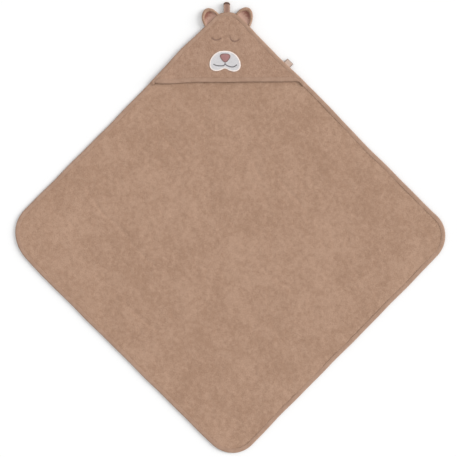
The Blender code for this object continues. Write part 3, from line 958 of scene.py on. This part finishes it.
def cut_by(line, x):
    """The stretches of y that a closed outline covers at x."""
    crossings = []
    for (x0, y0), (x1, y1) in zip(line, np.roll(line, -1, axis=0)):
        if (x0 <= x) != (x1 <= x):
            crossings.append(y0 + (x - x0) * (y1 - y0) / (x1 - x0))
    crossings.sort()
    return list(zip(crossings[::2], crossings[1::2]))


def filling(line, pitch, stitch, lift):
    """Upright rows of stitches that fill an outline; each row's stitches start a little further on."""
    rows = []
    for k, x in enumerate(np.arange(line[:, 0].min() + pitch / 2, line[:, 0].max(), pitch)):
        for low, high in cut_by(line, x):
            if high - low < 1 * MM:
                continue
            y = np.linspace(low, high, max(4, round((high - low) / (stitch / 5))))
            beat = np.abs(np.sin(math.pi * (y / stitch + 0.37 * k)))
            row = on_hood(np.column_stack([np.full(len(y), x), y]), lift)
            row[:, 2] += 0.22 * MM * np.sqrt(beat)
            rows.append(row)
    return rows


PAD = 0.85 * MM
muzzle_pad = pad("muzzle_pad", shrink(muzzle_line, 0.6 * MM), PAD, cream_fill)
rows = filling(shrink(muzzle_line, 1.9 * MM), 0.62 * MM, 4.2 * MM, PAD + 0.1 * MM)
muzzle_rows = grow("muzzle_rows", strand, rows, cream_fill, Radius=0.30 * MM)
muzzle = report(joined("muzzle_fill", [muzzle_pad, muzzle_rows]))

# %% Satin stitch round the muzzle, and for nose, mouth and eyes
def satin_line(name, line, lift, width, finish, closed=False):
    path = on_hood(line, lift)
    if closed:
        path = np.vstack([path, path[:1]])
    return grow(name, satin, [path], finish, Pitch=0.40 * MM, Length=width, Radius=0.36 * MM)


def nose_strands():
    """Level strands that bulge over the nose's pad."""
    rows, count = [], 12
    turned = shrink(nose_line, 2.0 * MM)[:, ::-1]
    for y in np.arange(turned[:, 0].min() + 0.3 * MM, turned[:, 0].max(), 0.5 * MM):
        for low, high in cut_by(turned, y):
            x = np.linspace(low, high, count)
            crown = np.sin(math.pi * np.linspace(0.02, 0.98, count)) ** 0.6
            row = on_hood(np.column_stack([x, np.full(count, y)]), PAD + 0.45 * MM)
            row[:, 2] += 0.65 * MM * crown
            rows.append(row)
    return rows


edge_of_muzzle = shrink(muzzle_line, 1.3 * MM)
muzzle_edge = satin_line("muzzle_edge", edge_of_muzzle, PAD + 0.25 * MM, 3.3 * MM, cream_thread, closed=True)
nose_pad = pad("nose_pad", shrink(nose_line, 0.5 * MM), PAD + 0.6 * MM, rose_thread)
nose_rows = grow("nose_rows", strand, nose_strands(), rose_thread, Radius=0.29 * MM)
nose = report(joined("nose_fill", [nose_pad, nose_rows]))
edge_of_nose = shrink(nose_line, 1.2 * MM)
nose_edge = satin_line("nose_edge", edge_of_nose, PAD + 0.9 * MM, 2.6 * MM, dark_rose_thread, closed=True)

MOUTH = {"left": [(-0.1, -6.4), (-3, -9.2), (-8, -10.5), (-15, -10.4), (-21, -9.6), (-26.9, -7.4)],
         "right": [(0.1, -6.4), (4, -8.8), (9, -10.8), (16, -12.3), (22, -10.9), (27.6, -7.0)]}
mouth = {}
for side, points in MOUTH.items():
    line = face_line(points)
    mouth[side] = satin_line(f"mouth_{side}_thread", line, PAD + 0.35 * MM, 3.2 * MM, grey_thread)
lip = face_place(np.array([(0.0, -2.6), (0.0, -4.6), (0.0, -6.8)]) * MM)
lip_thread = satin_line("philtrum_thread", lip, PAD + 0.4 * MM, 2.6 * MM, grey_thread)
eye = {side: satin_line(f"eye_{side}_thread", line, 0.3 * MM, 3.3 * MM, brown_thread)
       for side, line in eye_lines.items()}

# %% [markdown]
# ## Ears
# Each ear is a cup of terry with a thick soft rim, sewn into the seam by its straight base. Inside is a
# smooth rosy lining. The rim overhangs the lining on its outer side, so the cup looks dark there, and
# the lining's colour is painted darker there too, as shade. Near the seam the lining is pushed up
# into a fold. Both are lofted from a section that is swung round half an oval.

# %% Ear shapes
EAR_PLACE = {"left": (53.0 * MM, 28.1 * MM), "right": (51.6 * MM, 29.2 * MM)}
EAR_BASE, EAR_REACH, EAR_ROOT, EAR_LEAN, EAR_SEAM_Z = 22 * MM, 28 * MM, 3.5 * MM, 0.2, 3.9 * MM
# Each pair is a share of the way from the ear's middle to its outline, and a height in mm.
EAR_SHELL = [(0, 0.5), (0.25, 0.4), (0.5, 0.4), (0.72, 0.5), (0.86, 0.9), (0.94, 1.9), (0.985, 3.3),
             (1.0, 4.9), (0.985, 6.4), (0.95, 7.5), (0.9, 8.2), (0.845, 8.3), (0.79, 7.8), (0.755, 6.9),
             (0.74, 5.8), (0.73, 4.6), (0.6, 3.0), (0, 2.7)]
EAR_LINING = [(0, 3.5), (0.25, 3.5), (0.45, 3.6), (0.6, 4.0), (0.7, 4.8), (0.755, 5.8), (0.765, 5.4),
              (0.7, 3.9), (0.45, 3.0), (0, 2.9)]


def profile_points(profile, step):
    """The section's points, evenly spaced for a real ear's size."""
    scale = np.array([EAR_REACH, MM])
    return smooth_line(np.array(profile) * scale, False, step) / [EAR_REACH, 1]


def ear_seam(side):
    """The middle of an ear's seam, the way down along the towel's side and the way out of it."""
    sign = -1 if side == "left" else 1
    down, outward = np.array([sign, -1]) / math.sqrt(2), np.array([sign, 1]) / math.sqrt(2)
    return np.array([0, HALF]) + down * EAR_PLACE[side][0], down, outward


def ear_piece(name, side, profile, step, pile, fold, seed):
    seam_at, size = EAR_PLACE[side]
    section = profile_points(profile, step)
    middle, down, outward = ear_seam(side)
    angles = np.linspace(0, math.pi, 84)
    rows = np.empty((len(angles), len(section), 3))
    for k, angle in enumerate(angles):
        share = section[:, 0]
        reach = (size + EAR_ROOT) * math.sin(angle) * share - EAR_ROOT
        wander = 1 + 0.02 * math.sin(3 * angle + seed)
        along = EAR_BASE * math.cos(angle) * share * wander - EAR_LEAN * np.maximum(reach, 0)
        short = np.maximum(0, APEX_RADIUS - seam_at - along)
        sag = (APEX_RADIUS - np.sqrt(APEX_RADIUS ** 2 - short ** 2)) * smooth(1 - reach / size)
        near_seam = smooth(1 - (reach + EAR_ROOT) / (9 * MM))
        flat = 0.6 * smooth(1 - (reach + EAR_ROOT) / (5 * MM))
        rows[k, :, :2] = middle + down * along[:, None] + outward * (reach - sag)[:, None]
        rows[k, :, 2] = drawn_to(EAR_SEAM_Z, section[:, 1] + fold * near_seam, 1 - flat)
    obj = mesh_object(name, rows.reshape(-1, 3), grid_faces(*rows.shape[:2]))
    work = bmesh.new()
    work.from_mesh(obj.data)
    bmesh.ops.remove_doubles(work, verts=work.verts, dist=0.00002)
    bmesh.ops.holes_fill(work, edges=[edge for edge in work.edges if edge.is_boundary])
    bmesh.ops.recalc_face_normals(work, faces=work.faces)
    work.normal_update()
    heights = loops_of_pile(len(work.verts), seed)
    for vert, lift in zip(work.verts, heights):
        vert.co += vert.normal * float(lift) * pile
        vert.co.z = max(vert.co.z, 0.2 * MM)
    reaches = [(np.array(vert.co[:2]) - middle) @ outward / size for vert in work.verts]
    work.to_mesh(obj.data)
    work.free()
    obj.data.attributes.new("reach", "FLOAT", "POINT").data.foreach_set("value", reaches)
    return report(obj)


ears = {}
for side, seed in (("left", 30), ("right", 32)):
    shell = ear_piece(f"ear_{side}_shell", side, EAR_SHELL, 1.0 * MM, 0.32 * MM, 0.0, seed)
    inner = ear_piece(f"ear_{side}_inner", side, EAR_LINING, 1.2 * MM, 0.05 * MM, 2.4 * MM, seed + 10)
    hood_terry.dress(shell)
    ear_velour.dress(inner)
    ears[side] = (shell, inner)

# %% [markdown]
# ## Loop and label
# Both are flat tape, folded over and caught in the seam. One helper sweeps a thin strip along a side
# view of its path. The loop lies half open with its eye towards the sides. Across its end lies a bar
# of dark strands, which is painted shade where the tape folds over. The label is blank.

# %% Folded tapes
TAPE_POINTS = 13  # across each face of a tape


def lag(across, reached):
    """How far the corners of a hung loop stay behind its middle."""
    return 3.2 * MM * abs(2 * across) ** 2.5 * smooth((reached - 12 * MM) / (9 * MM))


def tape(name, path, step, width, thickness, origin, forward, finish, narrow=1.0, hung=0.0):
    """A strip of tape along a path in (forward, up). Its width runs sideways and is narrower at the start."""
    line = smooth_line(np.array(path) * MM, False, step)
    way = unit(np.gradient(line, axis=0))
    normal = np.column_stack([-way[:, 1], way[:, 0]])
    sideways = np.array([forward[1], -forward[0]])
    spread = np.linspace(-0.5, 0.5, TAPE_POINTS)
    across = np.concatenate([spread, spread[::-1]])
    rows, columns = len(line), len(across)
    up = np.repeat([0.5, -0.5], len(spread)) * (1 - 0.5 * (abs(across) > 0.49))
    taper = narrow + (1 - narrow) * smooth((line[:, 0] - line[0, 0]) / (6 * MM))
    points = np.empty((rows, columns, 3))
    reach = line[:, :1] + normal[:, :1] * up * thickness - hung * lag(across, line[:, :1])
    side = across * width * taper[:, None]
    points[..., :2] = np.array(origin) + reach[..., None] * np.array(forward) + side[..., None] * sideways
    points[..., 2] = line[:, 1:] + normal[:, 1:] * up * thickness
    faces = grid_faces(rows, columns, around=True).tolist() + end_faces(rows, columns)
    uv = strip_uv(run_length(line), np.append(across, across[0]) * width, at_ends=2 * columns)
    obj = face_outwards(mesh_object(name, points.reshape(-1, 3), faces, uv))
    finish.dress(obj)
    return report(obj)


loop_low, loop_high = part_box("hanging_loop")
LOOP_X = (loop_low[0] + loop_high[0]) / 2 + 0.5 * MM
LOOP_Y, LOOP_WIDTH, FOLD_SHADE_STRANDS = 512 * MM, 14.6 * MM, 7
LOOP_PATH = [(-3.5, 3.3), (0, 3.0), (6, 1.6), (12, 0.9), (18, 1.0), (21.2, 2.2), (22.4, 4.6), (21.4, 6.9),
             (18, 7.9), (12, 7.6), (6, 6.2), (0, 4.9), (-3.5, 4.4)]
loop = tape("loop_tape", LOOP_PATH, 0.5 * MM, LOOP_WIDTH, 0.9 * MM, (LOOP_X, LOOP_Y), (0.0, 1.0),
            loop_twill, narrow=0.82, hung=1.0)
# Painted shade: dark strands across the loop's end stand for the shade where the tape folds over.
fold_shade_rows = []
for k in range(FOLD_SHADE_STRANDS):
    reach, height = (17.6 + 0.62 * k) * MM, (8.55 - 0.03 * k * k) * MM
    share = np.linspace(-0.5, 0.5, 17)
    droop = 0.5 * MM * smooth((abs(share) - 0.45) / 0.05)
    y = LOOP_Y + reach - lag(share, reach + 1 * MM)
    fold_shade_rows.append(np.column_stack([LOOP_X + share * LOOP_WIDTH * 1.03, y, height - droop]))
fold_shade_bar = grow("fold_shade_bar", strand, fold_shade_rows, fold_shade_floss, Radius=0.36 * MM)

LABEL_ALONG = 195.8 * MM
label_foot = np.array([0, HALF]) + DOWN_RIGHT * LABEL_ALONG
LABEL_PATH = [(-3.5, 3.4), (0, 3.3), (5, 2.7), (10.3, 2.6), (11.3, 3.2), (10.4, 3.9), (5, 4.0), (0, 4.2),
              (-3.5, 4.2)]
label = tape("label_tape", LABEL_PATH, 0.4 * MM, 18.6 * MM, 0.4 * MM, label_foot, UP_RIGHT, label_satin)

# %% [markdown]
# ## How it lies
# Everything so far is drawn on a true square. A soft towel put down by hand never lies quite true: its
# sides bow in and out by a few millimetres. Each side's bow is given at the few places where it turns,
# and every point of every piece moves by what the four sides tell it, most by the side it's nearest to.

# %% Settling the cloth
# Pairs of a share of the way along a side and how far the side lies outside the true square there, in mm.
# Upper right and lower left count from their left ends, the other two from their lower ends.
LIE = {"upper right": [(0, 0.8), (0.08, 0.5), (0.22, -2.6), (0.38, 0), (0.58, -4.6), (1, -5.5)],
       "upper left": [(0, 2), (0.5, 1.4), (0.65, 3), (0.8, 6.5), (0.93, 4)],
       "lower left": [(0, -6.2), (0.08, -5.8), (0.18, -2.3), (0.7, -2.4), (1, -3)],
       "lower right": [(0, 5.8), (0.2, 3.4), (0.6, 3.2), (0.85, 2), (1, -0.3)]}


def settled(place):
    """Places in the plane, moved as the cloth lies."""
    p, q = place @ DOWN_RIGHT, place @ UP_RIGHT
    right, upper = np.clip(p / SIDE + 0.5, 0, 1), np.clip(q / SIDE + 0.5, 0, 1)
    side = {name: np.interp(right if name in ("upper right", "lower left") else upper, *zip(*bow)) * MM
            for name, bow in LIE.items()}
    move_q = upper * side["upper right"] - (1 - upper) * side["lower left"]
    move_p = right * side["lower right"] - (1 - right) * side["upper left"]
    return place + move_p[:, None] * DOWN_RIGHT + move_q[:, None] * UP_RIGHT


def settle(obj):
    place = points_of(obj)
    place[:, :2] = settled(place[:, :2])
    put_points(obj, place)


body_pieces = [towel, binding, edge_stitches]
hood_pieces = [hood, hood_hem, hood_stitches, muzzle, muzzle_edge, nose, nose_edge, lip_thread,
               *mouth.values(), *eye.values()]
for piece in (*body_pieces, *hood_pieces, *ears["left"], *ears["right"], loop, fold_shade_bar, label):
    settle(piece)

# %% [markdown]
# ## Attaching the pieces
# The towel's body stays still, and its pieces are attached to it. The hood is sewn along both sides,
# so when it's lifted its seams stay and its middle rises most: for each point of it a share is worked
# out that grows from 0 at the seams to 1 in the middle. The pieces of hood, ears, loop and label
# keep their places, baked into their points.

# %% Attaching and baking
EAR_BEND, LOOP_BEND, LABEL_BEND = 7 * MM, 4.5 * MM, 4 * MM  # how far beyond its seam each piece's end point lies


def hood_share(x, y):
    half = hood_half(y, least=1 * MM)
    return smooth((half - abs(x)) / (0.8 * half)) * smooth((hinge_y - y) / (25 * MM))


def lift_with_hood(obj):
    """Bakes a piece's place into its points and works out each point's hood_share."""
    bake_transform(obj)
    place = points_of(obj)
    share = hood_share(place[:, 0], place[:, 1]).astype(np.float32)


def bend_at_seam(obj, seam, outward, length):
    """Bakes a piece's place into its points; the seam's settled place and a point `length` beyond it are
    worked out.
    """
    start, end = settled(np.array([seam, seam])) + np.array([seam * 0, outward * length])
    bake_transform(obj)


for piece in body_pieces:
    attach(piece, "towel")
for piece in hood_pieces:
    lift_with_hood(piece)
for side, pieces in ears.items():
    seam, down, outward = ear_seam(side)
    for piece in pieces:
        bend_at_seam(piece, seam, outward, EAR_BEND)
for piece in (loop, fold_shade_bar):
    bend_at_seam(piece, np.array([LOOP_X, LOOP_Y - 0.5 * MM]), np.array([0, 1]), LOOP_BEND)
bend_at_seam(label, label_foot, UP_RIGHT, LABEL_BEND)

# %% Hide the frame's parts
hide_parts("towel_panel")
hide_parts("edge_binding")
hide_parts("hood_panel", "hood_seam_margin")
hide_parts("hood_binding")
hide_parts("muzzle_patch")
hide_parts("muzzle_border")
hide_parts("nose")
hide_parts("nose_border")
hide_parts("philtrum")
for side in ("left", "right"):
    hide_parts(f"mouth_{side}")
    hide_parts(f"eye_{side}")
    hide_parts(f"ear_{side}_terry")
    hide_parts(f"ear_{side}_lining")
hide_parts("hanging_loop")
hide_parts("side_label")

# %% [markdown]
# ## Floor, light and camera
# The towel lies on a white floor and is seen from straight above. A broad, low lamp on the right draws
# a thin shadow under the hood's free edge and along both left sides. The sky is an even white, which
# keeps that shadow soft.

# %% Stage
FLOOR_SIZE, FLOOR_Z = 40, -1.2 * MM
CAMERA_PLACE = (-1.5 * MM, 14.6 * MM, 2.499)
bpy.ops.mesh.primitive_plane_add(size=FLOOR_SIZE, location=(0, 0, FLOOR_Z))
floor = bpy.context.object
floor.name = "floor"
floor_finish = Finish("white_floor", roughness=0.9, specular=0.0)
shade, white = (0.823, 0.823, 0.823, 1), (0.83, 0.83, 0.83, 1)
floor_finish.colour(floor_finish.between(floor_finish.noise(0.4), shade, white))
floor_finish.dress(floor)

world = bpy.data.worlds.new("studio")
world.use_nodes = True
sky = world.node_tree.nodes["Background"].inputs
sky["Color"].default_value = (1, 1, 1, 1)
sky["Strength"].default_value = 0.86
scene = bpy.context.scene
scene.world = world

sun = bpy.data.lights.new("window", "SUN")
sun.energy = 2.6
sun.angle = math.radians(32)
window = add_object("window", sun)
window.rotation_euler = (0, math.radians(64), math.radians(12))
scene.view_settings.view_transform = "Standard"
scene.view_settings.look = "None"

camera_data = bpy.data.cameras.new("camera")
camera_data.lens = 85
camera_data.sensor_width = 36
camera_data.clip_end = 20
camera = add_object("camera", camera_data)
camera.location = CAMERA_PLACE
camera.rotation_euler = (0, 0, math.radians(-0.2))
scene.camera = camera
